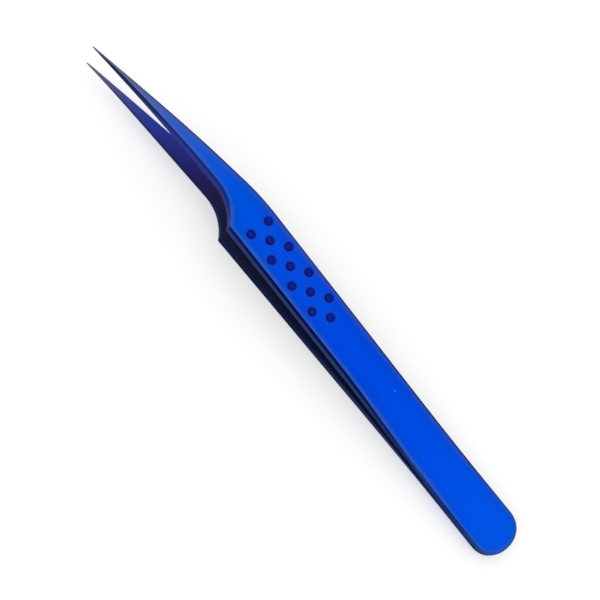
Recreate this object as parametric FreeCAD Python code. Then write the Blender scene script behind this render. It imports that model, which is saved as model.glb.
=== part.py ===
import FreeCAD, Part
import os
from math import acos, atan, atan2, cos, degrees, radians, sin, sqrt, tan
from FreeCAD import Placement, Rotation, Vector

# Precision tweezers: two spring steel arms, resistance welded face to face at the tail.
# Each arm is one blade. Seen from above it has a round tail end, a handle with a slight waist,
# a notch on one side and a bent neck that runs out in a needle tip. Seen from the side it is thin
# behind the grip, where it flexes, thickest at the grip, and ground down to the tip.
# Twelve shallow grip dimples are cut in each outer face, in rows of two and one by turns.
#
# The arms are drawn open, as they rest, on either side of the plane Z = 0, with the tail end at
# X = 0 and the tips along +X. The notch is on the +Y side. Last, both arms are tilted together,
# so that the part lies on the flat grip face of the lower arm. All sizes are in millimetres.

# Arm seen from above
overall_length = 130.0
tail_width = 10.8
tail_round_length = 4.87        # along the arm, from the tail end to its widest place
tail_fullness = 0.81            # of the tail's round: 0.707 is an ellipse, 1 fills its corners more
waist_width = 9.70
waist_length = 49.5             # from the tail end to the waist
grip_width = 9.91               # at the notch corner
neck_length = 45.1              # from the notch corner to the tip
notch_depth = 4.02
notch_radius = 11.0
notch_side_bow_radius = 530.0   # the neck's edge on the notch side
back_side_bow_radius = 1240.0   # the neck's edge on the plain side
shoulder_length = 48.7          # from the bend of the plain side to the tip
shoulder_radius = 57.5
tip_offset = 2.88               # from the handle's centre line to the tip, towards the notch side
tip_width = 0.22

# Arm seen from the side
weld_length = 12.5
tail_thickness = 1.02
tail_flat_length = 10.0         # straight part of the tail's outer face
flex_end = 51.0                 # from the tail end to the flat outer face of the grip
ground_length = 33.0            # from the front end of that flat face to the tip
flat_start_thickness = 2.11
flat_end_thickness = 2.28
tip_thickness = 0.30
tip_gap = 7.97                  # between the two tips, with the tweezers at rest
inner_bow = 0.16                # rise of the inner face over a straight line from weld to tip
tip_back_angle = 1.2            # fall of the outer face at the tip, in degrees

# Outer edges
handle_edge_radius = 0.43
tip_edge_radius = 0.09

# Grip dimples
dimple_diameter = 2.0
dimple_depth = 0.42
dimple_rows = 8
dimple_row_pitch = 3.255
dimple_side_pitch = 4.69        # between the two dimples of a full row
dimple_front_margin = 3.75      # from the notch corner back to the first row
dimple_side_shift = -0.32       # the pattern's centre line, off the handle's

# Derived places
notch_x = overall_length - neck_length
shoulder_x = overall_length - shoulder_length
flat_end = overall_length - ground_length
flat_length = flat_end - flex_end
half_grip = grip_width / 2
half_waist = waist_width / 2
half_tail = tail_width / 2
widening = (half_grip - half_waist) / (notch_x - waist_length)
tip_notch_side = Vector(overall_length, tip_offset + tip_width / 2, 0)
tip_back_side = Vector(overall_length, tip_offset - tip_width / 2, 0)
half_gap = tip_gap / 2


def smooth_curve(start, start_slope, end, end_slope):
    """A cubic curve in the plane of its two ends, with the given slope at each of them."""
    third = (end.x - start.x) / 3
    rise = Vector(0, 1, 0) if start.z == end.z else Vector(0, 0, 1)
    first = start + Vector(third, 0, 0) + rise * (third * start_slope)
    second = end - Vector(third, 0, 0) - rise * (third * end_slope)
    curve = Part.BezierCurve()
    curve.setPoles([start, first, second, end])
    return curve.toShape()


def tail_quarter(side, corner):
    """One side of the tail's round, from the arm's side to the tail end, and tangent to both."""
    curve = Part.BezierCurve()
    curve.setPoles([side, corner, Vector(corner.x, 0, 0)])
    curve.setWeight(2, tail_fullness)
    return curve.toShape()


def arc_between(centre, radius, start, end):
    """The arc round the centre from start to end, where both lie below the centre."""
    chord_middle = (start + end) * 0.5
    away = chord_middle - centre
    away.normalize()
    return Part.Arc(start, centre + away * radius, end).toShape()


def bowed_edge(centre, radius, bow_radius, tip):
    """Where an arc of bow_radius leaves the given circle smoothly to end at the tip, and its centre."""
    to_tip = tip - centre
    reach = to_tip.Length
    shift = bow_radius - radius
    turn = acos((shift ** 2 + reach ** 2 - bow_radius ** 2) / (2 * shift * reach))
    angle = atan2(to_tip.y, to_tip.x) + turn
    bow_centre = centre + Vector(cos(angle), sin(angle), 0) * shift
    leave = centre - Vector(cos(angle), sin(angle), 0) * radius
    return leave, bow_centre


def arm_outline():
    """The arm's outline from above, from the tail end round to the tip and back."""
    tail_side = Vector(tail_round_length, half_tail, 0)
    tail_back = Vector(tail_round_length, -half_tail, 0)
    waist_side = Vector(waist_length, half_waist, 0)
    waist_back = Vector(waist_length, -half_waist, 0)
    notch_corner = Vector(notch_x, half_grip, 0)
    shoulder = Vector(shoulder_x, -half_waist - widening * (shoulder_x - waist_length), 0)

    notch_run = sqrt(notch_radius ** 2 - (notch_radius - notch_depth) ** 2)
    notch_centre = Vector(notch_x + notch_run, half_grip - notch_depth + notch_radius, 0)
    notch_leave, side_centre = bowed_edge(notch_centre, notch_radius, notch_side_bow_radius,
                                          tip_notch_side)
    inward = Vector(widening, 1, 0)
    inward.normalize()
    shoulder_centre = shoulder + inward * shoulder_radius
    shoulder_leave, back_centre = bowed_edge(shoulder_centre, shoulder_radius,
                                             back_side_bow_radius, tip_back_side)
    edges = [
        tail_quarter(tail_side, Vector(0, half_tail, 0)),
        tail_quarter(tail_back, Vector(0, -half_tail, 0)),
        smooth_curve(tail_side, 0, waist_side, widening),
        Part.LineSegment(waist_side, notch_corner).toShape(),
        arc_between(notch_centre, notch_radius, notch_corner, notch_leave),
        arc_between(side_centre, notch_side_bow_radius, notch_leave, tip_notch_side),
        Part.LineSegment(tip_notch_side, tip_back_side).toShape(),
        arc_between(back_centre, back_side_bow_radius, shoulder_leave, tip_back_side),
        arc_between(shoulder_centre, shoulder_radius, shoulder, shoulder_leave),
        Part.LineSegment(waist_back, shoulder).toShape(),
        smooth_curve(tail_back, 0, waist_back, -widening),
    ]
    return Part.Face(Part.Wire(Part.__sortEdges__(edges)))


def inner_height(x):
    """Height of the inner face above the plane between the arms, in front of the weld."""
    span = overall_length - weld_length
    along = (x - weld_length) / span
    return half_gap * along + 4 * inner_bow * along * (1 - along)


flat_start_height = inner_height(flex_end) + flat_start_thickness
flat_end_height = inner_height(flat_end) + flat_end_thickness
flat_slope = (flat_end_height - flat_start_height) / flat_length


def outer_height(x):
    """Height of the flat outer face of the grip."""
    return flat_start_height + (x - flex_end) * flat_slope


def arm_side():
    """The arm's section from the side, in the XZ plane."""
    tail_inner = Vector(0, 0, 0)
    weld_front = Vector(weld_length, 0, 0)
    middle_x = (weld_length + overall_length) / 2
    bow_top = Vector(middle_x, 0, inner_height(middle_x))
    tip_inner = Vector(overall_length, 0, half_gap)
    tip_outer = Vector(overall_length, 0, half_gap + tip_thickness)
    flat_front = Vector(flat_end, 0, flat_end_height)
    flat_back = Vector(flex_end, 0, flat_start_height)
    tail_front = Vector(tail_flat_length, 0, tail_thickness)
    tail_outer = Vector(0, 0, tail_thickness)
    tip_slope = -tan(radians(tip_back_angle))
    edges = [
        Part.LineSegment(tail_inner, weld_front).toShape(),
        Part.Arc(weld_front, bow_top, tip_inner).toShape(),
        Part.LineSegment(tip_inner, tip_outer).toShape(),
        smooth_curve(flat_front, flat_slope, tip_outer, tip_slope),
        Part.LineSegment(flat_back, flat_front).toShape(),
        smooth_curve(tail_front, 0, flat_back, flat_slope),
        Part.LineSegment(tail_outer, tail_front).toShape(),
        Part.LineSegment(tail_outer, tail_inner).toShape(),
    ]
    return Part.Face(Part.Wire(Part.__sortEdges__(edges)))


def arm_blank():
    """The arm with sharp edges: its outline from above, where it meets its section from the side."""
    clear = tail_width + tip_offset
    plate = arm_outline()
    plate.translate(Vector(0, 0, -clear))
    plate = plate.extrude(Vector(0, 0, 2 * clear))
    side = arm_side()
    side.translate(Vector(0, -clear, 0))
    side = side.extrude(Vector(0, 2 * clear, 0))
    return plate.common(side).Solids[0]


def edge_radius(x):
    """Radius of the rounded outer edges: constant on the handle, finer from there to the tip."""
    along_neck = max(0.0, (x - flat_end) / (overall_length - flat_end))
    return handle_edge_radius + (tip_edge_radius - handle_edge_radius) * along_neck


def outer_edge_numbers(blank):
    """The numbers of the edges between the outer face and the upright walls, tip end left out."""
    steepest_wall = 0.1             # how far a wall's normal may rise or fall
    least_rise = 0.9                # how far the outer face's normal rises, at the least
    numbers = []
    for number, edge in enumerate(blank.Edges, 1):
        middle = edge.valueAt((edge.FirstParameter + edge.LastParameter) / 2)
        rises = []
        for face in blank.ancestorsOfType(edge, Part.Face):
            across, along = face.Surface.parameter(middle)
            rises.append(face.normalAt(across, along).z)
        tip_end = middle.x > overall_length - tip_width
        if abs(min(rises)) < steepest_wall and max(rises) > least_rise and not tip_end:
            numbers.append(number)
    return numbers


def round_outer_edges(blank):
    """Rounds the long edges of the outer face, which run on from each other round the tail."""
    drawing = FreeCAD.newDocument("arm")
    sharp = drawing.addObject("Part::Feature", "sharp_arm")
    sharp.Shape = blank
    rounded = drawing.addObject("Part::Fillet", "rounded_arm")
    rounded.Base = sharp
    radii = []
    for number in outer_edge_numbers(blank):
        ends = blank.Edges[number - 1].Vertexes
        radii.append((number, edge_radius(ends[0].X), edge_radius(ends[-1].X)))
    rounded.Edges = radii
    drawing.recompute()
    return rounded.Shape.Solids[0]


def dimple_centres():
    """The places of the grip dimples along and across the arm, from the notch back."""
    places = []
    for row in range(dimple_rows):
        x = notch_x - dimple_front_margin - row * dimple_row_pitch
        if row % 2 == 0:
            sides = (-dimple_side_pitch / 2, dimple_side_pitch / 2)
        else:
            sides = (0,)
        for side in sides:
            places.append((x, dimple_side_shift + side))
    return places


def cut_dimples(arm):
    """Cuts the round shallow dimples square to the outer face."""
    ball_radius = ((dimple_diameter / 2) ** 2 + dimple_depth ** 2) / (2 * dimple_depth)
    outward = Vector(-flat_slope, 0, 1)
    outward.normalize()
    for x, y in dimple_centres():
        on_face = Vector(x, y, outer_height(x))
        centre = on_face + outward * (ball_radius - dimple_depth)
        arm = arm.cut(Part.makeSphere(ball_radius, centre))
    return arm


def lay_down(arm):
    """Tilts an arm so that the lower arm's flat grip face is level, with its middle at the origin."""
    middle = flex_end + flat_length / 2
    level = Rotation(Vector(0, 1, 0), -degrees(atan(flat_slope)))
    face_middle = level.multVec(Vector(middle, 0, -outer_height(middle)))
    laid = arm.copy()
    laid.Placement = Placement(face_middle * -1, level)
    return laid


upper = cut_dimples(round_outer_edges(arm_blank()))
lower = upper.mirror(Vector(0, 0, 0), Vector(0, 0, 1))

os.makedirs("parts", exist_ok=True)
for name, arm in (("upper_arm", upper), ("lower_arm", lower)):
    solid = lay_down(arm).Solids[0]
    solid.exportStep("parts/" + name + ".step")
    print(name, "volume", round(solid.Volume, 1), "valid", solid.isValid())
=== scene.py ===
import math

import bmesh
import bpy
import numpy as np
from mathutils import Matrix, Vector
from mathutils.kdtree import KDTree


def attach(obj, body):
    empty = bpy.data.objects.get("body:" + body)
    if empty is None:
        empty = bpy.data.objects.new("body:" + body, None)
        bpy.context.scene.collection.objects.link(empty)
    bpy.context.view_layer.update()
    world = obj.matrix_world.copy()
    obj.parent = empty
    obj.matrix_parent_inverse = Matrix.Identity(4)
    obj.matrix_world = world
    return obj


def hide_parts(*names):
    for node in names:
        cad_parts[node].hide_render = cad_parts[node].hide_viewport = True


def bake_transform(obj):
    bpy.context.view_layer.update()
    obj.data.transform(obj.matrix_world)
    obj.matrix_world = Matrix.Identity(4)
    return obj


# Blue coated precision tweezers: two spring steel blades, welded to each other at the tail
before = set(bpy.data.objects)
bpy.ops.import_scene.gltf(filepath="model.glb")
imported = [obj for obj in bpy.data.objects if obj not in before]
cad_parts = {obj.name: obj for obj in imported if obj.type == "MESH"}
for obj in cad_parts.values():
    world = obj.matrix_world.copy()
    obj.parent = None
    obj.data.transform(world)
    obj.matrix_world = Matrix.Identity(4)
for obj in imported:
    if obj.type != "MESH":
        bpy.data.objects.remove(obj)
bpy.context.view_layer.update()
print("frame loaded:", sorted(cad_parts))

mm = 0.001

# One blade, in millimetres: x from the tail end to the tip, y towards the notch, z from the plane
# between the two blades to the outer face
blade = {
    "length": 130.0,
    "tailWidth": 10.8,
    "tailRound": 4.87,              # along the blade, from its end to its widest place
    "tailFullness": 0.81,           # 0.707 would be an ellipse
    "waistWidth": 9.70,
    "waistX": 49.5,
    "gripWidth": 9.91,              # at the notch
    "notchX": 84.9,                 # the corner where the notch starts
    "notchDepth": 4.02,
    "notchRadius": 11.0,
    "notchBow": 530.0,              # radius of the neck's edge on the notch side
    "shoulderX": 81.3,
    "shoulderRadius": 57.5,
    "plainBow": 1240.0,             # radius of the neck's edge on the plain side
    "tipOffset": 2.88,
    "tipWidth": 0.22,
    "weldEnd": 12.5,
    "tailThickness": 1.02,
    "tailFlatEnd": 10.0,
    "flatStart": 51.0,              # the grip's flat outer face
    "flatEnd": 97.0,
    "flatStartThickness": 2.11,
    "flatEndThickness": 2.28,
    "tipThickness": 0.30,
    "halfGap": 3.985,               # from the middle plane to the tip's inner face
    "innerBow": 0.16,
    "tipFall": 1.2,                 # degrees
    "handleEdge": 0.43,             # radius of the rounded outer edges
    "tipEdge": 0.09,
    "innerEdge": 0.08,              # width of the broken inner edges
}

dimple = {                          # millimetres, but for the counts and the share
    "diameter": 2.0,
    "depth": 0.42,
    "rows": 8,
    "rowPitch": 3.255,
    "sidePitch": 4.69,
    "firstX": 81.15,
    "centreY": -0.32,
    "rimRound": 0.05,               # how far the softened rim reaches to either side
    "rimDrop": 0.3,                 # the rim's own depth, as a share of the depth just inside it
    "bowlRings": (0.82, 0.64, 0.44, 0.22),   # radii of the mesh rings inside the rim
    "cells": 8,                     # mesh cells across the square round a dimple
    "rowCells": 11,                 # mesh cells from one row to the next
}

meshing = {                         # millimetres and counts, but for what has its own note
    "rear": 0.5,                    # from section to section, behind the dimples
    "neck": 0.4,                    # and in front of the notch
    "notch": 0.22,                  # and round the notch's arc
    "tailSteps": 26,                # sections round the tail's end
    "edgeSteps": 6,                 # points across a rounded edge
    "wallShares": (0.33, 0.67, 1.0),   # of the way down a wall, where it has its points
    "innerColumns": 14,
    "notchSideColumns": 5,          # from the rounded edge to the squares round the dimples
    "plainSideColumns": 3,
    "cornerRun": 1.2,               # how far from the notch corner its mitre spreads
    "slopeStep": 1e-4,              # how far to either side of a point its slope is measured
    "rimSteps": 7,                  # places tried on each stretch of the outline for the nearest one
    "tipScales": (0.96, 0.72),      # what is left of the last two sections, to round the tip's end
    "tipPull": 0.75,                # share of the way that the last but one then moves to the last
    "mergeWithin": 0.0005,          # points as close as this become one
    "sharpFrom": 28,                # degrees between two faces, from which their edge stays sharp
}

turnAt = {"face": 0, "wallTop": 1, "wallFoot": 1.2, "inner": 2}   # a point's place round the edge


def hermite(x, x0, y0, slope0, x1, y1, slope1):   # a smooth curve between two places and slopes
    span = x1 - x0
    t = (x - x0) / span
    return ((2 * t**3 - 3 * t**2 + 1) * y0 + (t**3 - 2 * t**2 + t) * span * slope0
            + (3 * t**2 - 2 * t**3) * y1 + (t**3 - t**2) * span * slope1)


def innerZ(x):                      # the inner face's height: straight from the weld, slightly bowed
    along = np.clip((x - blade["weldEnd"]) / (blade["length"] - blade["weldEnd"]), 0, 1)
    return blade["halfGap"] * along + 4 * blade["innerBow"] * along * (1 - along)


flatStartZ = innerZ(blade["flatStart"]) + blade["flatStartThickness"]
flatEndZ = innerZ(blade["flatEnd"]) + blade["flatEndThickness"]
flatSlope = (flatEndZ - flatStartZ) / (blade["flatEnd"] - blade["flatStart"])


def outerZ(x):                      # the outer face's: level tail, rising rear, flat grip, falling neck
    rear = hermite(x, blade["tailFlatEnd"], blade["tailThickness"], 0,
                   blade["flatStart"], flatStartZ, flatSlope)
    flat = flatStartZ + (x - blade["flatStart"]) * flatSlope
    front = hermite(x, blade["flatEnd"], flatEndZ, flatSlope, blade["length"],
                    blade["halfGap"] + blade["tipThickness"], -math.tan(math.radians(blade["tipFall"])))
    z = np.where(x < blade["flatStart"], rear, np.where(x < blade["flatEnd"], flat, front))
    return np.where(x < blade["tailFlatEnd"], blade["tailThickness"], z)


def edgeRadius(x):                  # of the rounded outer edges, smaller along the neck
    alongNeck = np.clip((x - blade["flatEnd"]) / (blade["length"] - blade["flatEnd"]), 0, 1)
    return blade["handleEdge"] + (blade["tipEdge"] - blade["handleEdge"]) * alongNeck


halfTail = blade["tailWidth"] / 2
halfWaist = blade["waistWidth"] / 2
halfGrip = blade["gripWidth"] / 2
widening = (halfGrip - halfWaist) / (blade["notchX"] - blade["waistX"])


def halfWidth(x):                   # of the handle, from its widest place forward
    rear = hermite(x, blade["tailRound"], halfTail, 0, blade["waistX"], halfWaist, widening)
    return np.where(x < blade["waistX"], rear, halfWaist + widening * (x - blade["waistX"]))


def bowFrom(centre, radius, bow, tip):   # the bow that leaves an arc smoothly and ends at the tip
    toTip = tip - centre
    reach = toTip.length
    shift = bow - radius
    turn = math.acos((shift**2 + reach**2 - bow**2) / (2 * shift * reach))
    direction = Matrix.Rotation(turn, 2) @ toTip.normalized()
    return centre.x - direction.x * radius, centre + direction * shift


notchRun = math.sqrt(blade["notchRadius"]**2 - (blade["notchRadius"] - blade["notchDepth"])**2)
notchCentre = Vector((blade["notchX"] + notchRun,
                      halfGrip - blade["notchDepth"] + blade["notchRadius"]))
notchTip = Vector((blade["length"], blade["tipOffset"] + blade["tipWidth"] / 2))
plainTip = Vector((blade["length"], blade["tipOffset"] - blade["tipWidth"] / 2))
shoulder = Vector((blade["shoulderX"], -float(halfWidth(np.float64(blade["shoulderX"])))))
shoulderCentre = shoulder + Vector((widening, 1)).normalized() * blade["shoulderRadius"]
notchLeave, notchBowCentre = bowFrom(notchCentre, blade["notchRadius"], blade["notchBow"], notchTip)
plainLeave, plainBowCentre = bowFrom(shoulderCentre, blade["shoulderRadius"], blade["plainBow"], plainTip)


def underArc(x, centre, radius):
    return centre.y - np.sqrt(np.maximum(radius**2 - (x - centre.x)**2, 0))


def notchSideY(x, onArc=False):     # onArc takes the notch's side of the corner at notchX
    arc = underArc(x, notchCentre, blade["notchRadius"])
    bow = underArc(x, notchBowCentre, blade["notchBow"])
    handle = (x < blade["notchX"]) | ((x == blade["notchX"]) & (not onArc))
    return np.where(handle, halfWidth(x), np.where(x < notchLeave, arc, bow))


def plainSideY(x):
    arc = underArc(x, shoulderCentre, blade["shoulderRadius"])
    bow = underArc(x, plainBowCentre, blade["plainBow"])
    return np.where(x < blade["shoulderX"], -halfWidth(x), np.where(x < plainLeave, arc, bow))


def sectionPlaces():                # where the mesh has its sections, from the tail's round forward
    cell = dimple["rowPitch"] / dimple["rowCells"]
    half = dimple["cells"] // 2
    cells = np.arange(-half, (dimple["rows"] - 1) * dimple["rowCells"] + half + 1)
    grip = np.sort(dimple["firstX"] - cells * cell)

    def between(start, end, spacing):
        return np.linspace(start, end, max(2, round((end - start) / spacing)) + 1)[1:]

    return np.concatenate([
        [blade["tailRound"]], between(blade["tailRound"], grip[0], meshing["rear"])[:-1], grip,
        between(grip[-1], blade["notchX"], cell),
        between(blade["notchX"], notchLeave, meshing["notch"]),
        between(notchLeave, blade["length"], meshing["neck"]),
    ])


def bladeSides():
    # Each side as points on the outline, with the vector that takes a point 1 mm in from it
    small = meshing["slopeStep"]

    # The tail's round: a conic from the middle of its end to its widest place
    u = np.linspace(0, 1, meshing["tailSteps"] + 1)[:-1]
    full = blade["tailFullness"]
    weight = (1 - u)**2 + 2 * u * (1 - u) * full + u**2
    weightSlope = -2 * (1 - u) + 2 * (1 - 2 * u) * full + 2 * u
    tailX = blade["tailRound"] * u**2 / weight
    tailY = halfTail * (2 * u * (1 - u) * full + u**2) / weight
    inX = halfTail * (2 * (1 - 2 * u) * full + 2 * u) - tailY * weightSlope
    inY = tailX * weightSlope - 2 * blade["tailRound"] * u
    size = np.hypot(inX, inY)
    tailIn = np.stack([inX / size, inY / size], 1)

    # The notch side, mitred at its corner between the handle's edge and the notch's arc
    x = sectionPlaces()
    before = np.maximum(x - small, blade["tailRound"])
    notchSlope = (notchSideY(x + small) - notchSideY(before, onArc=True)) / (x + small - before)
    corner = int(np.argmin(abs(x - blade["notchX"])))
    notchIn = np.stack([notchSlope, -np.ones_like(x)], 1) / np.hypot(notchSlope, 1)[:, None]
    arcSlope = (notchSideY(x[corner] + 2 * small) - notchSideY(x[corner] + small)) / small
    handleIn = np.array([widening, -1.0]) / math.hypot(widening, 1)
    arcIn = np.array([arcSlope, -1.0]) / math.hypot(arcSlope, 1)
    mitre = (handleIn + arcIn) / (1 + handleIn @ arcIn)
    run = np.hypot(x - x[corner], notchSideY(x) - halfGrip)   # from the notch corner
    share = np.clip(1 - run / meshing["cornerRun"], 0, 1)[:, None]
    notchIn = np.where(x[:, None] < x[corner], notchIn + share * (mitre - handleIn),
                       notchIn + share * (mitre - arcIn))
    notchIn[corner] = mitre

    plainSlope = (plainSideY(x + small) - plainSideY(before)) / (x + small - before)
    plainIn = np.stack([-plainSlope, np.ones_like(x)], 1) / np.hypot(plainSlope, 1)[:, None]
    notchEdge = np.concatenate([np.stack([tailX, tailY], 1), np.stack([x, notchSideY(x)], 1)])
    plainEdge = np.concatenate([np.stack([tailX, -tailY], 1), np.stack([x, plainSideY(x)], 1)])
    notchIn = np.concatenate([tailIn, notchIn])
    plainIn = np.concatenate([tailIn * (1, -1), plainIn])
    return notchEdge, notchIn, plainEdge, plainIn


def faceColumns():
    # The mesh columns as shares of the way across the flat outer face, from the notch side, and the
    # number of the one down the dimples' middle
    flatHalf = halfGrip - blade["handleEdge"]
    pitch = dimple["sidePitch"] / 2 / dimple["cells"]
    half = dimple["cells"] * 3 // 2
    lines = dimple["centreY"] + pitch * np.arange(half, -half - 1, -1)
    notchSide = np.linspace(flatHalf, lines[0], meshing["notchSideColumns"] + 1)[:-1]
    plainSide = np.linspace(lines[-1], -flatHalf, meshing["plainSideColumns"] + 1)[1:]
    places = np.concatenate([notchSide, lines, plainSide])
    return (flatHalf - places) / (2 * flatHalf), len(notchSide) + half


def dimpleCentres():                # each dimple's row, and its side: 1 to the notch, -1 away, 0 between
    for row in range(dimple["rows"]):
        sides = (-1, 1) if row % 2 == 0 else (0,)
        for side in sides:
            yield row, side


def dimpleDrop(rho):                # depth below the face at a distance from a dimple's centre
    radius = dimple["diameter"] / 2
    ball = (radius**2 + dimple["depth"]**2) / (2 * dimple["depth"])
    return math.sqrt(ball**2 - rho**2) - (ball - dimple["depth"])


def sectionRings():
    # The rings of points round the blade, one a section: the outer face from the notch side to the
    # plain side, the rounded edge, the wall, the inner face back again, the wall, the rounded edge
    notchEdge, notchIn, plainEdge, plainIn = bladeSides()
    radius = edgeRadius(notchEdge[:, 0])[:, None]
    breakSize = radius * blade["innerEdge"] / blade["handleEdge"]
    columns, middleColumn = faceColumns()
    rings, turns = [], []

    def addPoint(plan, z, turn):
        rings.append(np.column_stack([plan, z]))
        turns.append(turn)

    def across(share, inset, height, turn):
        plan = (notchEdge + notchIn * inset) * (1 - share) + (plainEdge + plainIn * inset) * share
        addPoint(plan, height(plan[:, 0]), turn)

    def roundedEdge(edge, inward, angles):
        for angle in angles:
            plan = edge + inward * radius * (1 - math.cos(angle))
            z = outerZ(plan[:, 0]) - radius[:, 0] * (1 - math.sin(angle))
            addPoint(plan, z, turnAt["wallTop"] * (1 - angle / (math.pi / 2)))

    def wall(edge, shares):
        top = outerZ(edge[:, 0]) - radius[:, 0]
        bottom = innerZ(edge[:, 0]) + breakSize[:, 0]
        rest = turnAt["wallFoot"] - turnAt["wallTop"]
        for share in shares:
            addPoint(edge, top * (1 - share) + bottom * share, turnAt["wallTop"] + share * rest)

    angles = np.linspace(math.pi / 2, 0, meshing["edgeSteps"] + 1)[1:]
    for share in columns:
        across(share, radius, outerZ, turnAt["face"])
    roundedEdge(plainEdge, plainIn, angles)
    wall(plainEdge, meshing["wallShares"])
    for share in np.linspace(1, 0, meshing["innerColumns"] + 1):
        across(share, breakSize, innerZ, turnAt["inner"])
    wall(notchEdge, meshing["wallShares"][::-1])
    roundedEdge(notchEdge, notchIn, angles[::-1])
    return np.stack(rings, 1), np.array(turns), len(columns), middleColumn


def onSlope(x, y, drop):            # a point that lies drop below the grip's sloping flat face
    length = math.hypot(flatSlope, 1)
    return (x + drop * flatSlope / length, y, float(outerZ(np.float64(x))) - drop / length)


def drawBlade():
    # All of the blade's points and faces, each point with its place round the edge
    rings, turns, columnCount, middleColumn = sectionRings()
    sections, around = rings.shape[:2]
    tipMiddle = rings[-1].mean(0)
    for section, scale in zip((-2, -1), meshing["tipScales"]):
        rings[section] += (tipMiddle - rings[-1]) * (1 - scale)
    rings[-2] += (rings[-1] - rings[-2]) * meshing["tipPull"]
    points = [tuple(p) for p in rings.reshape(-1, 3)]
    turn = list(np.tile(turns, sections))
    half = dimple["cells"] // 2
    firstSection = int(np.argmin(abs(rings[:, middleColumn, 0] - dimple["firstX"])))
    covered, faces = set(), []

    for row, side in dimpleCentres():
        i0 = firstSection - row * dimple["rowCells"]
        j0 = middleColumn - side * dimple["cells"]
        x0 = dimple["firstX"] - row * dimple["rowPitch"]
        y0 = dimple["centreY"] + side * dimple["sidePitch"] / 2
        covered |= {(i, j) for i in range(i0 - half, i0 + half) for j in range(j0 - half, j0 + half)}
        border = [(i0 + half, j) for j in range(j0 + half, j0 - half, -1)]
        border += [(i, j0 - half) for i in range(i0 + half, i0 - half, -1)]
        border += [(i0 - half, j) for j in range(j0 - half, j0 + half)]
        border += [(i, j0 + half) for i in range(i0 - half, i0 + half)]
        outside = [i * around + j for i, j in border]
        rim = dimple["diameter"] / 2
        for rho in (rim + dimple["rimRound"], rim, rim - dimple["rimRound"], *dimple["bowlRings"]):
            drop = 0.0 if rho > rim else dimpleDrop(rho)
            if rho == rim:
                drop = dimpleDrop(rim - dimple["rimRound"]) * dimple["rimDrop"]
            inside = []
            for k in range(len(border)):
                angle = -math.pi / 4 + k * 2 * math.pi / len(border)
                inside.append(len(points))
                points.append(onSlope(x0 + rho * math.cos(angle), y0 + rho * math.sin(angle), drop))
                turn.append(turnAt["face"])
            for k in range(len(border)):
                nextK = (k + 1) % len(border)
                faces.append((outside[k], outside[nextK], inside[nextK], inside[k]))
            outside = inside
        points.append(onSlope(x0, y0, dimple["depth"]))
        turn.append(turnAt["face"])
        faces += [(outside[k], outside[(k + 1) % len(border)], len(points) - 1)
                  for k in range(len(border))]

    for i in range(sections - 1):
        for j in range(around):
            if (i, j) not in covered or j >= columnCount:
                nextJ = (j + 1) % around
                faces.append((i * around + j, i * around + nextJ,
                              (i + 1) * around + nextJ, (i + 1) * around + j))
    faces.append(tuple((sections - 1) * around + j for j in range(around)))
    return np.array(points), faces, np.array(turn)


def dimpleDistance(points, turn):   # from each point of the outer face to the nearest dimple's centre
    nearest = np.full(len(points), dimple["sidePitch"])
    for row, side in dimpleCentres():
        x0 = dimple["firstX"] - row * dimple["rowPitch"]
        y0 = dimple["centreY"] + side * dimple["sidePitch"] / 2
        nearest = np.minimum(nearest, np.hypot(points[:, 0] - x0, points[:, 1] - y0))
    return np.where(turn > turnAt["wallTop"], dimple["sidePitch"], nearest)


def acrossShare(points):            # 0 at the notch side's edge to 1 at the plain side's
    x = np.maximum(points[:, 0], blade["tailRound"])
    notchY, plainY = notchSideY(x), plainSideY(x)
    return np.clip((notchY - points[:, 1]) / (notchY - plainY), 0, 1)


paintedBand = {                            # painted dark reflection band on the rounded edges, and the painted lavender sheen margin next to it
    "notchSideLeast": 0.34,         # mm, the band's least width on the notch side, before it is thinned
    # The share of its width that the band keeps on the notch side, by mm from the tail end
    "thinnerAt": ((20, 1.0), (26, 0.75), (36, 0.75), (44, 1.0),
                  (84.8, 1.0), (85, 0.65), (87.5, 0.65), (89.3, 1.0)),
    # How much narrower the painted sheen margin is, in mm, by mm from the tail end
    "tailTrim": ((2, 0.42), (20, 0)),
    "notchSideTrim": ((20, 0), (26, 0.15), (36, 0.15), (44, 0),
                      (80, 0), (86, 0.25), (92, 0.25), (98, 0)),
}


def alongRim(edgeAlong, stops):     # a value that goes from stop to stop along the outline
    return np.interp(edgeAlong, [stop[0] for stop in stops], [stop[1] for stop in stops])


def paintedBandShare(points, rim, across, edgeAlong):   # the distance from the outline, in widths of the painted dark band
    width = edgeRadius(points[:, 0])
    notchSide = np.maximum(width, paintedBand["notchSideLeast"]) * alongRim(edgeAlong, paintedBand["thinnerAt"])
    return rim / np.where(across < 0.5, notchSide, width)


def paintedSheenMarginDistance(rim, across, edgeAlong):      # from the outline, longer where the painted sheen margin is narrow
    notchSide = np.where(across < 0.5, alongRim(edgeAlong, paintedBand["notchSideTrim"]), 0)
    return rim + alongRim(edgeAlong, paintedBand["tailTrim"]) + notchSide


def nearestRim(points):             # each point's distance to the outline, and how far along that is
    notchEdge, _, plainEdge, _ = bladeSides()
    outline = np.concatenate([notchEdge[::-1], plainEdge[1:]])
    steps = np.arange(meshing["rimSteps"]) / meshing["rimSteps"]
    dense = [start + (end - start) * step for start, end in zip(outline[:-1], outline[1:])
             for step in steps]
    tree = KDTree(len(dense))
    for number, place in enumerate(dense):
        tree.insert((*place, 0), number)
    tree.balance()
    found = [tree.find((p[0], p[1], 0)) for p in points]
    return np.array([f[2] for f in found]), np.array([f[0].x for f in found])


# Both blades are tilted, so that the lower one's flat grip face lies level, with its middle at the origin
tilt = math.atan(flatSlope)
level = Matrix.Rotation(-tilt, 3, "Y")
faceMiddleX = (blade["flatStart"] + blade["flatEnd"]) / 2
faceMiddle = level @ Vector((faceMiddleX, 0, -float(outerZ(np.float64(faceMiddleX)))))


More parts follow.
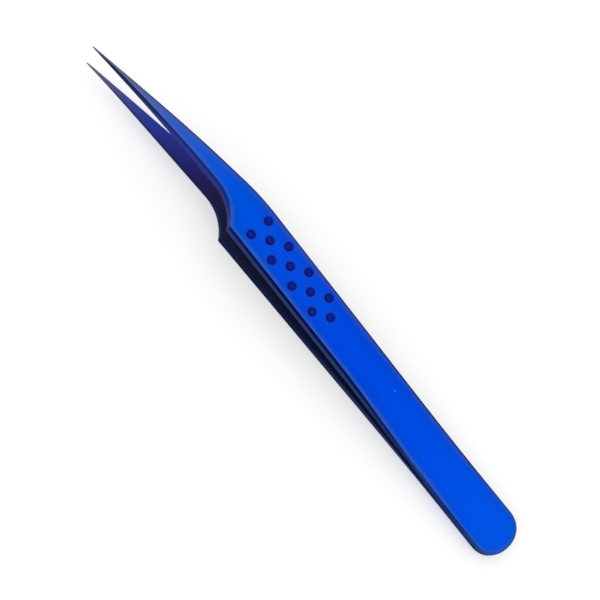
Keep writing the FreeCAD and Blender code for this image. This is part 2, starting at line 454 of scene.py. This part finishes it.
def placeBlade(points, mirrored):   # from the drawing's millimetres to its place in the scene
    drawn = points * (1, 1, -1 if mirrored else 1)
    return (drawn @ np.array(level).T - np.array(faceMiddle)) * mm


bladePoints, bladeFaces, bladeTurn = drawBlade()
bladeRim, bladeEdgeAlong = nearestRim(bladePoints)
bladeAcross = acrossShare(bladePoints)
carriedValues = {                   # what each point of the mesh carries for the coat
    "turn": bladeTurn,
    "dimple": dimpleDistance(bladePoints, bladeTurn),
    "rim": bladeRim,
    "along": bladePoints[:, 0],
    "across": bladeAcross,
    "edgeAlong": bladeEdgeAlong,
    "paintedBand": paintedBandShare(bladePoints, bladeRim, bladeAcross, bladeEdgeAlong),
    "paintedSheenMargin": paintedSheenMarginDistance(bladeRim, bladeAcross, bladeEdgeAlong),
}
print("blade drawn:", len(bladePoints), "points,", len(bladeFaces), "faces")


def makeBlade(name, mirrored):
    mesh = bpy.data.meshes.new(name)
    order = bladeFaces if mirrored else [f[::-1] for f in bladeFaces]
    mesh.from_pydata(placeBlade(bladePoints, mirrored).tolist(), [], order)
    for value, numbers in carriedValues.items():
        attribute = mesh.attributes.new(value, "FLOAT", "POINT")
        attribute.data.foreach_set("value", numbers.astype(np.float32))
    built = bmesh.new()
    built.from_mesh(mesh)
    bmesh.ops.remove_doubles(built, verts=built.verts, dist=meshing["mergeWithin"] * mm)
    bmesh.ops.delete(built, geom=[v for v in built.verts if not v.link_faces], context="VERTS")
    bmesh.ops.recalc_face_normals(built, faces=built.faces)
    built.to_mesh(mesh)
    built.free()
    mesh.shade_smooth()
    mesh.set_sharp_from_angle(angle=math.radians(meshing["sharpFrom"]))
    piece = bpy.data.objects.new(name, mesh)
    bpy.context.scene.collection.objects.link(piece)
    return piece


upperBlade = makeBlade("upperBlade", False)
lowerBlade = makeBlade("lowerBlade", True)
print("blades made")


def linearColour(hexText):          # from sRGB
    channels = [int(hexText[k:k + 2], 16) / 255 for k in (1, 3, 5)]
    return [c / 12.92 if c <= 0.04045 else ((c + 0.055) / 1.055)**2.4 for c in channels] + [1.0]


def addNode(tree, kind, inputs=None, **settings):   # inputs are values, or sockets to link
    node = tree.nodes.new(kind)
    for name, value in settings.items():
        setattr(node, name, value)
    for socket, value in (inputs or {}).items():
        if isinstance(value, bpy.types.NodeSocket):
            tree.links.new(value, node.inputs[socket])
        else:
            node.inputs[socket].default_value = value
    return node


coat = {                            # for makeCoat: lengths are in millimetres
    "tones": {                      # each goes by one of carriedValues, in mm, from stop to stop
        "face": ("along", (0, "#0258e4"), (10, "#0252e4"), (46, "#0048dd"), (72, "#024ddd"),
                 (88, "#0052dc"), (98, "#1256d2"), (108, "#2c5ac8"), (115, "#5466a6"),
                 (120, "#606a96"), (130, "#80848c")),
        # The two margin tones are painted lavender sheen along the outline, a painted reflection of the
        # rounded edges
        "notchPaintedSheen": ("edgeAlong", (0, "#365bb6"), (60, "#345ab0"), (85, "#3060ac"),
                        (100, "#345cb6"), (110, "#4462b6"), (115, "#5466a8"), (120, "#606a98"),
                        (130, "#80848c")),
        "plainPaintedSheen": ("edgeAlong", (0, "#2c50ae"), (44, "#2a4cb0"), (66, "#344ab0"),
                        (90, "#2850b0"), (115, "#4c5e9e"), (120, "#586288"), (130, "#80848c")),
        # The two edge tones are painted dark reflection on the rounded edges, with the notch side darker
        # as painted shade
        "notchEdge": ("edgeAlong", (0, "#2e54a4"), (5, "#1f3d80"), (14, "#0e2a70"), (26, "#1e3c7c"),
                      (32, "#0e2468"), (44, "#021858"), (70, "#001046"), (84.8, "#052068"),
                      (85, "#3e5090"), (87.2, "#2c3e88"), (89.2, "#122e86"), (106, "#1b2f76"),
                      (114, "#17255e"), (120, "#1c2450"), (127, "#262a3c"), (130, "#70747c")),
        "plainEdge": ("edgeAlong", (0, "#2e54a4"), (14, "#1a3684"), (44, "#173584"), (66, "#22408e"),
                      (90, "#1c3f92"), (106, "#22408a"), (114, "#26407c"), (127, "#30364a"),
                      (130, "#70747c")),
        # The two wall tones are painted shade and reflection on the walls, the lower blade's darker still
        # as painted shade near the floor; towards the tips they go grey with the coat
        "upperWallPaintedShade": ("along", (0, "#2c3a62"), (16, "#2c3a62"), (26, "#162148"), (32, "#2a3462"),
                      (44, "#384067"), (84, "#3b3e6c"), (98, "#3a3c8c"), (104, "#383c9a"),
                      (111, "#363d77"), (118, "#323856"), (126, "#262c3e"), (130, "#70747c")),
        "lowerWallPaintedShade": ("along", (0, "#18213c"), (14, "#18213c"), (26, "#343c60"), (44, "#2a3454"),
                      (60, "#141a38"), (80, "#121634"), (98, "#20234a"), (111, "#2a3364"),
                      (122, "#323850"), (130, "#70747c")),
        # The inner tone is painted shade between the blades along the handle, going lighter and violet
        # towards the open neck, and the coat's grey at the tips
        "inner": ("along", (0, "#222c5a"), (50, "#222c5a"), (78, "#2d3559"), (92, "#302f60"),
                  (100, "#32307e"), (111, "#333fa0"), (118, "#434f9e"), (124, "#566090"),
                  (130, "#70747c")),
        # The dimple tone darkens each dimple and a ring round it: painted shade in the hollows
        "dimple": ("dimple", (0.28, "#1a2186"), (0.55, "#0c2289"), (0.78, "#03208c"),
                   (0.93, "#082c9c"), (1.04, "#103cb2"), (1.15, "#1747c2")),
    },
    "changes": {                    # what each goes by, where it starts and where it is full
        "plainSide": ("across", 0.35, 0.65, "SMOOTHSTEP"),       # shares of the way across
        "handle": ("along", 100, 86, "SMOOTHSTEP"),              # mm from the tail end
        "paintedShadeNextToSheen": ("rim", 3.6, 0.9, "LINEAR"),             # mm from the outline
        "clearOfDimple": ("dimple", 1.15, 1.7, "SMOOTHSTEP"),    # mm from a dimple's centre
        "pastPaintedBand": ("paintedBand", 1.04, 1.3, "SMOOTHSTEP"),           # widths of the painted dark band
        "wall": ("turn", 0.85, 1.0, "SMOOTHSTEP"),               # places round the edge, as in turnAt
        "inner": ("turn", 1.3, 1.9, "SMOOTHSTEP"),
    },
    # The painted lavender sheen along the outline:
    "marginStart": 0.65,            # from the outline
    "marginEnd": 1.75,
    "marginPower": 2.2,             # how steeply it fades from the one to the other
    "marginWander": 0.12,           # how far its line strays with the mottle
    "paintedSideShade": 0.12,               # how much painted shade darkens the handle's blue next to its sheen margins
    "roughness": 0.36,
    "innerRoughness": 0.58,         # the inner faces are as ground, under a thinner coat
    "grazing": "#b4bcd8",           # a nitride coat mirrors less than bare metal at a flat angle
    "mottleSize": 6.0,              # the slow drift of the margin's line
    "mottleDetail": 2.0,
    "mottleReach": (0.3, 0.7),      # what the noise mostly stays between
    "grainSize": 0.3,               # the blasted grain is about 0.05 mm, drawn coarser to show
    "grainDetail": 3.0,
    "grainDepth": 0.004,
    "grainStrength": 0.25,          # of the bump
    "grainTone": 0.25,              # how much lighter or darker the grain makes the coat
    "grainGloss": 0.1,              # how much rougher the grain makes the coat at most
    "fleck": (38.8, -1.5, 0.34, "#2f72f6"),   # a pale fleck: along, across, size and colour
}


def makeCoat(name, wall, hasFleck):
    # Titanium nitride coat on blasted spring steel: a metal's gloss in saturated blue, softened by the
    # blasting, grey at the tips. On it: painted lavender sheen along the outline, painted dark reflection
    # on the rounded edges, painted shade on the walls, between the blades and in the dimples
    material = bpy.data.materials.new(name)
    material.use_nodes = True
    tree = material.node_tree
    shader = tree.nodes["Principled BSDF"]
    place = addNode(tree, "ShaderNodeTexCoord").outputs["Object"]
    carried, shares, colours = {}, {}, {}
    for value in carriedValues:
        carried[value] = addNode(tree, "ShaderNodeAttribute", attribute_name=value).outputs["Fac"]

    # How far each change has gone, from 0 to 1
    for change, (value, start, full, interpolation) in coat["changes"].items():
        gone = addNode(tree, "ShaderNodeMapRange",
                       {"Value": carried[value], "From Min": start, "From Max": full},
                       interpolation_type=interpolation)
        shares[change] = gone.outputs["Result"]

    # The painted lavender sheen along the outline, whose line strays a little
    mottle = addNode(tree, "ShaderNodeTexNoise",
                     {"Vector": place, "Scale": 1 / (coat["mottleSize"] * mm),
                      "Detail": coat["mottleDetail"]}).outputs["Fac"]
    wander = addNode(tree, "ShaderNodeMapRange",
                     {"Value": mottle, "From Min": coat["mottleReach"][0],
                      "From Max": coat["mottleReach"][1], "To Min": -coat["marginWander"],
                      "To Max": coat["marginWander"]}).outputs["Result"]
    fromRim = addNode(tree, "ShaderNodeMath", {0: carried["paintedSheenMargin"], 1: wander},
                      operation="ADD").outputs[0]
    nearRim = addNode(tree, "ShaderNodeMapRange",
                      {"Value": fromRim, "From Min": coat["marginEnd"],
                       "From Max": coat["marginStart"]}).outputs["Result"]
    shares["paintedSheenMargin"] = addNode(tree, "ShaderNodeMath", {0: nearRim, 1: coat["marginPower"]},
                               operation="POWER").outputs[0]

    # One colour ramp for each tone
    for tone in ("face", "notchPaintedSheen", "plainPaintedSheen", "notchEdge", "plainEdge", wall, "inner",
                 "dimple"):
        value, *stops = coat["tones"][tone]
        reach = stops[-1][0]
        share = addNode(tree, "ShaderNodeMath", {0: carried[value], 1: reach}, operation="DIVIDE")
        ramp = addNode(tree, "ShaderNodeValToRGB", {"Fac": share.outputs[0]})
        elements = ramp.color_ramp.elements
        while len(elements) < len(stops):
            elements.new(1.0)
        for element, (at, colour) in zip(elements, stops):
            element.position = at / reach
            element.color = linearColour(colour)
        colours[tone] = ramp.outputs["Color"]

    # Painted shade: the handle's blue is made a little darker next to its sheen margins
    beside = addNode(tree, "ShaderNodeMath", {0: shares["paintedShadeNextToSheen"], 1: shares["handle"]},
                     operation="MULTIPLY").outputs[0]
    kept = addNode(tree, "ShaderNodeMath", {0: beside, 1: -coat["paintedSideShade"], 2: 1.0},
                   operation="MULTIPLY_ADD").outputs[0]
    colours["face"] = addNode(tree, "ShaderNodeVectorMath", {0: colours["face"], "Scale": kept},
                              operation="SCALE").outputs[0]

    # The layers, in order: the result, what lies under, what covers it and by what share
    # Of these layers, the margin is a painted sheen, the edge a painted dark reflection, and the wall and
    # inner layers carry painted shade
    layers = [("paintedSheenMargin", "notchPaintedSheen", "plainPaintedSheen", "plainSide"),
              ("edge", "notchEdge", "plainEdge", "plainSide"),
              ("face", "face", "paintedSheenMargin", "paintedSheenMargin"),
              ("face", "dimple", "face", "clearOfDimple"),
              ("rounded", "edge", "face", "pastPaintedBand"),
              ("outside", "rounded", wall, "wall"),
              ("whole", "outside", "inner", "inner")]
    if hasFleck:                    # placed by what the mesh carries, so it stays put as the blade bends
        fleckX, fleckY, fleckSize, fleckColour = coat["fleck"]
        half = float(halfWidth(np.float64(fleckX)))
        sideways = addNode(tree, "ShaderNodeMath", {0: carried["across"], 1: -2 * half, 2: half},
                           operation="MULTIPLY_ADD").outputs[0]
        onFace = addNode(tree, "ShaderNodeCombineXYZ", {"X": carried["along"], "Y": sideways})
        away = addNode(tree, "ShaderNodeVectorMath",
                       {0: onFace.outputs[0], 1: (fleckX, fleckY, 0)}, operation="DISTANCE")
        inFleck = addNode(tree, "ShaderNodeMapRange",
                          {"Value": away.outputs["Value"], "From Min": fleckSize, "From Max": 0},
                          interpolation_type="SMOOTHSTEP")
        shares["fleck"] = inFleck.outputs["Result"]
        colours["fleck"] = linearColour(fleckColour)
        layers.insert(0, ("face", "face", "fleck", "fleck"))
    for result, under, over, share in layers:
        mixed = addNode(tree, "ShaderNodeMix",
                        {"Factor": shares[share], 6: colours[under], 7: colours[over]},
                        data_type="RGBA")
        colours[result] = mixed.outputs[2]

    # The blasted grain, in the colour, the gloss and the bump
    grain = addNode(tree, "ShaderNodeTexNoise",
                    {"Vector": place, "Scale": 1 / (coat["grainSize"] * mm),
                     "Detail": coat["grainDetail"]}).outputs["Fac"]
    speck = addNode(tree, "ShaderNodeMath", {0: grain, 1: coat["grainTone"], 2: 1 - coat["grainTone"] / 2},
                    operation="MULTIPLY_ADD").outputs[0]
    grained = addNode(tree, "ShaderNodeVectorMath", {0: colours["whole"], "Scale": speck},
                      operation="SCALE")
    bump = addNode(tree, "ShaderNodeBump", {"Height": grain, "Strength": coat["grainStrength"],
                                            "Distance": coat["grainDepth"] * mm})
    ungrained = addNode(tree, "ShaderNodeMapRange",
                        {"Value": shares["inner"], "To Min": coat["roughness"],
                         "To Max": coat["innerRoughness"]}).outputs["Result"]
    rough = addNode(tree, "ShaderNodeMath", {0: grain, 1: coat["grainGloss"], 2: ungrained},
                    operation="MULTIPLY_ADD")
    tree.links.new(grained.outputs[0], shader.inputs["Base Color"])
    tree.links.new(rough.outputs[0], shader.inputs["Roughness"])
    tree.links.new(bump.outputs["Normal"], shader.inputs["Normal"])
    shader.inputs["Metallic"].default_value = 1.0
    shader.inputs["Specular Tint"].default_value = linearColour(coat["grazing"])
    return material


upperBlade.data.materials.append(makeCoat("blueNitrideCoat", "upperWallPaintedShade", True))
lowerBlade.data.materials.append(makeCoat("blueNitrideCoatPaintedShadeWalls", "lowerWallPaintedShade", False))
print("coat made")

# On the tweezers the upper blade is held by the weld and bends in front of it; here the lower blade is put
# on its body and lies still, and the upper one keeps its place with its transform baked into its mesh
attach(lowerBlade, "lower_arm_body")
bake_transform(upperBlade)
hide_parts("lower_arm")
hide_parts("upper_arm")
print("blades put on their bodies")

# Pale floor that renders white and keeps the soft shadow, plain soft light from above
studio = {
    "floorSize": 6.0,               # metres
    "floorColour": "#f6f6f6",
    "floorLift": 0.43,              # added to the floor where it is seen, so that it comes out white
    "floorRoughness": 0.9,
    "floorSpecular": 0.1,
    "backdropColour": "#ffffff",
    "worldStrength": 0.65,          # of the light it sends, while what is seen of it stays at 1
    "softboxSize": 0.7,             # metres
    "softboxPower": 0.1,            # watts
    "softboxPlace": (-0.10, -0.20, 0.62),   # metres, and it faces the origin
}


def seenRays(tree):                 # 1 for what the camera sees, straight or in a reflection
    path = addNode(tree, "ShaderNodeLightPath").outputs
    seen = addNode(tree, "ShaderNodeMath", {0: path["Is Camera Ray"], 1: path["Is Glossy Ray"]},
                   operation="MAXIMUM").outputs[0]
    return addNode(tree, "ShaderNodeMath", {0: seen, 1: path["Is Transmission Ray"]},
                   operation="MAXIMUM").outputs[0]


def makeFloor():
    mesh = bpy.data.meshes.new("floor")
    half = studio["floorSize"] / 2
    mesh.from_pydata([(-half, -half, 0), (half, -half, 0), (half, half, 0), (-half, half, 0)], [],
                     [(0, 1, 2, 3)])
    floor = bpy.data.objects.new("floor", mesh)
    bpy.context.scene.collection.objects.link(floor)
    paper = bpy.data.materials.new("whitePaper")   # matt, so the shadow on it stays soft
    paper.use_nodes = True
    tree = paper.node_tree
    shader = tree.nodes["Principled BSDF"]
    shader.inputs["Base Color"].default_value = linearColour(studio["floorColour"])
    shader.inputs["Roughness"].default_value = studio["floorRoughness"]
    shader.inputs["Specular IOR Level"].default_value = studio["floorSpecular"]
    shader.inputs["Emission Color"].default_value = linearColour(studio["backdropColour"])
    lift = addNode(tree, "ShaderNodeMath", {0: seenRays(tree), 1: studio["floorLift"]},
                   operation="MULTIPLY")
    tree.links.new(lift.outputs[0], shader.inputs["Emission Strength"])
    mesh.materials.append(paper)


def makeWorld():
    world = bpy.data.worlds.new("studio")
    bpy.context.scene.world = world
    world.use_nodes = True
    tree = world.node_tree
    background = tree.nodes["Background"]
    background.inputs["Color"].default_value = linearColour(studio["backdropColour"])
    strength = addNode(tree, "ShaderNodeMapRange",
                       {"Value": seenRays(tree), "To Min": studio["worldStrength"], "To Max": 1.0})
    tree.links.new(strength.outputs["Result"], background.inputs["Strength"])


def makeSoftbox():
    light = bpy.data.lights.new("softbox", "AREA")
    light.shape = "SQUARE"
    light.size = studio["softboxSize"]
    light.energy = studio["softboxPower"]
    lamp = bpy.data.objects.new("softbox", light)
    lamp.location = studio["softboxPlace"]
    lamp.rotation_euler = (-lamp.location).to_track_quat("-Z", "Y").to_euler()
    bpy.context.scene.collection.objects.link(lamp)


makeFloor()
makeWorld()
makeSoftbox()
print("studio made")

lens = {                            # the photograph's own place and angle
    "place": (-21.527, 107.746, 273.330),       # mm
    "turn": (16.0068, -14.9542, -131.4358),     # degrees
    "focal": 86.34,                             # mm
    "sensor": 36,                               # mm
    "nearest": 10,                              # mm, where the view starts
}
camera = bpy.data.objects.new("camera", bpy.data.cameras.new("camera"))
camera.data.lens = lens["focal"]
camera.data.sensor_width = lens["sensor"]
camera.data.clip_start = lens["nearest"] * mm
camera.location = Vector(lens["place"]) * mm
camera.rotation_euler = [math.radians(a) for a in lens["turn"]]
bpy.context.scene.collection.objects.link(camera)
bpy.context.scene.camera = camera
bpy.context.scene.view_settings.view_transform = "Standard"
print("camera set")
